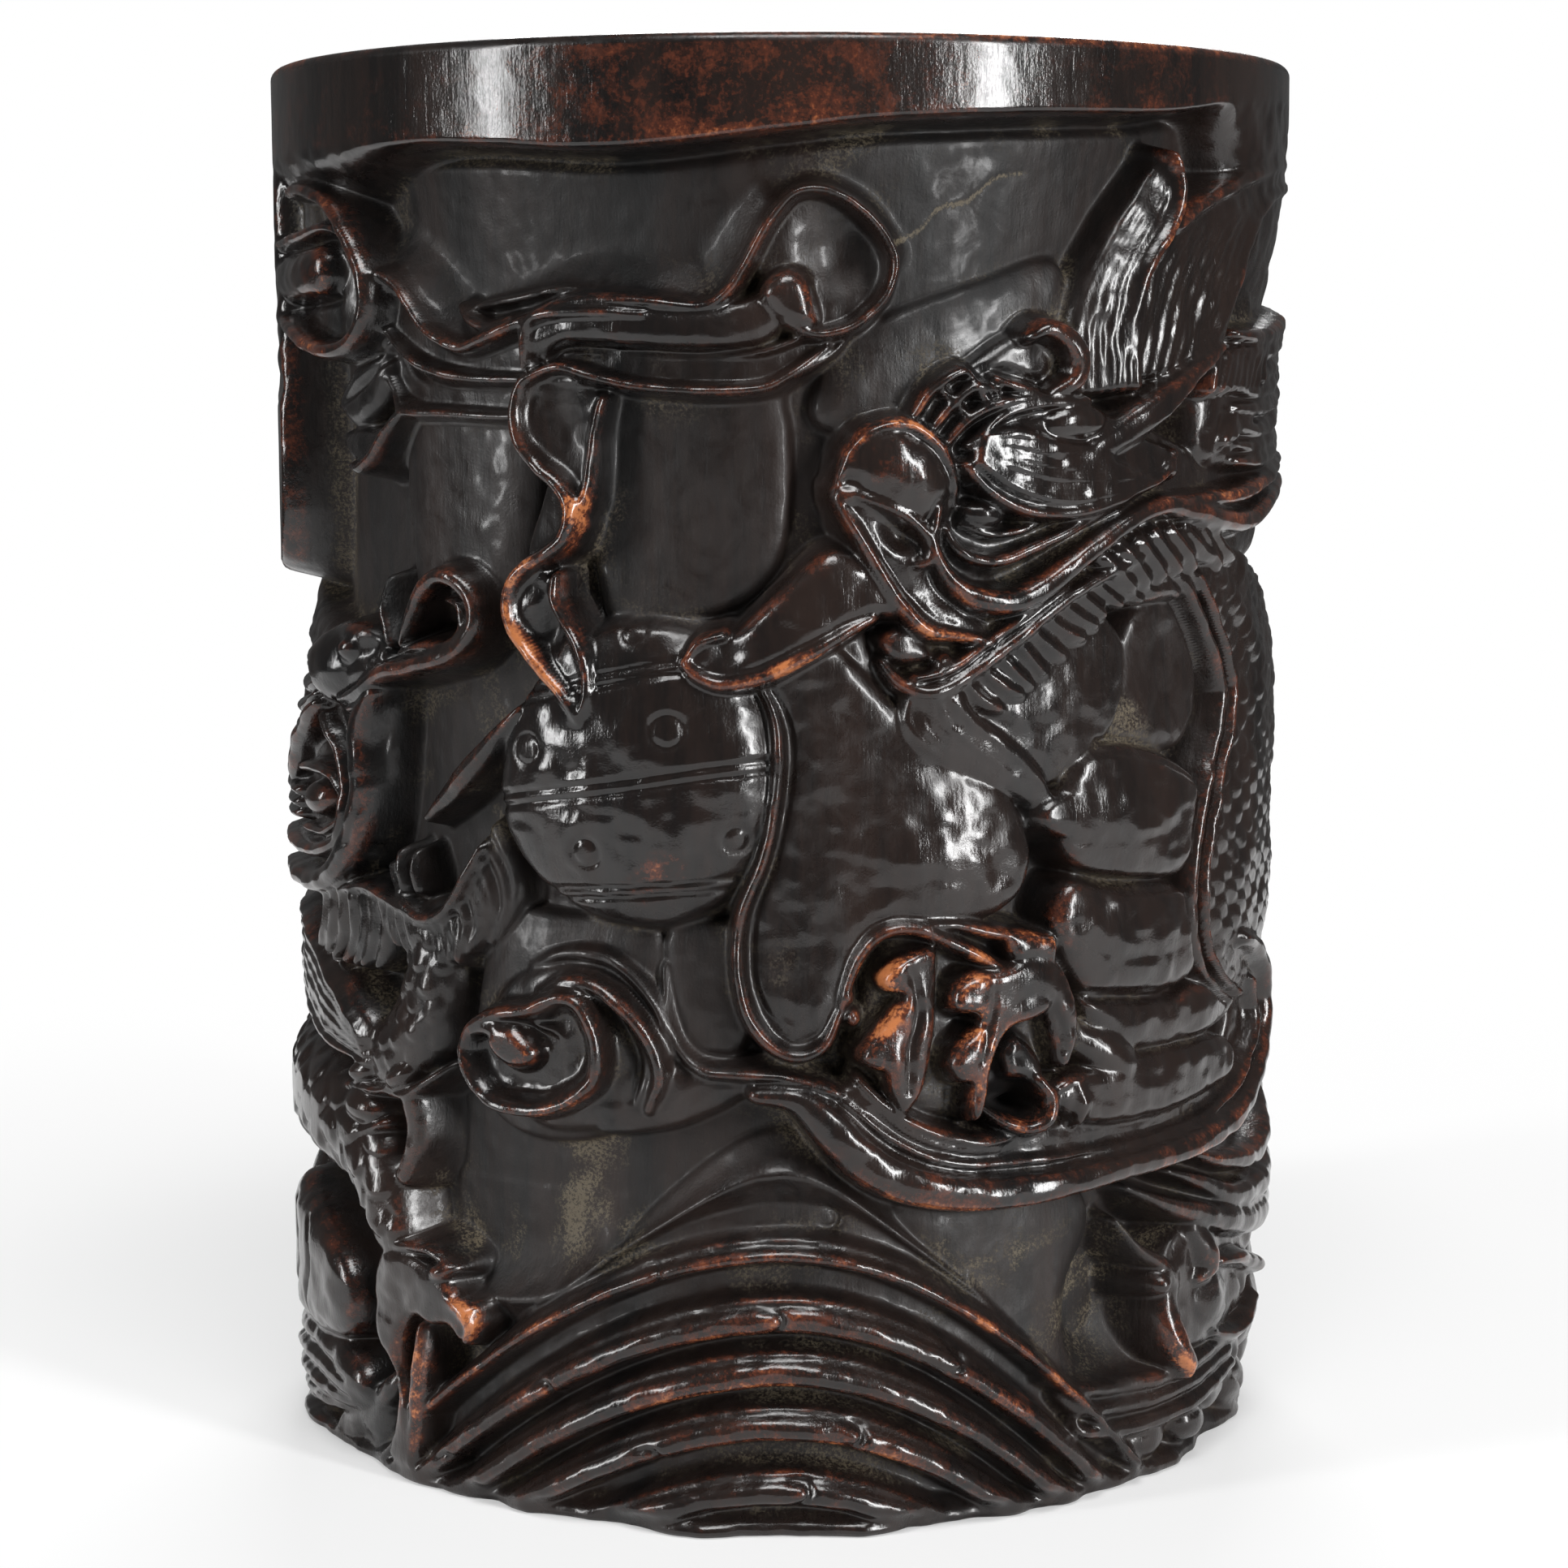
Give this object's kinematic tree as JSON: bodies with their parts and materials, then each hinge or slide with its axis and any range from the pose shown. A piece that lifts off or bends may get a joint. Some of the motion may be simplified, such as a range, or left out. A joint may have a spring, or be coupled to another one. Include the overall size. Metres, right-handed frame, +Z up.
{
  "type": "brush pot",
  "caption": "Cylindrical carved wooden brush pot with dragons, clouds and breaking waves in high relief, a plain rim band and a fitted floor board.",
  "frame": {"origin": "centre of the foot, in the plane that the pot stands on", "axes": "+Z up the pot's axis to the mouth, -Y towards the front that carries the ball between the dragons, +X to that front's right"},
  "size_m": [0.12, 0.12, 0.16],
  "materials": {
    "body_wood": "dark, waxed and handled hardwood, worn to orange brown on the crests, dusty in the hollows",
    "board_wood": "plain planed hardwood, dull",
    "plug_wood": "plain turned hardwood, dull"
  },
  "bodies": {
    "root": {"carved_body": "body_wood", "floor_board": "board_wood", "floor_plug": "plug_wood"}
  },
  "joints": []
}
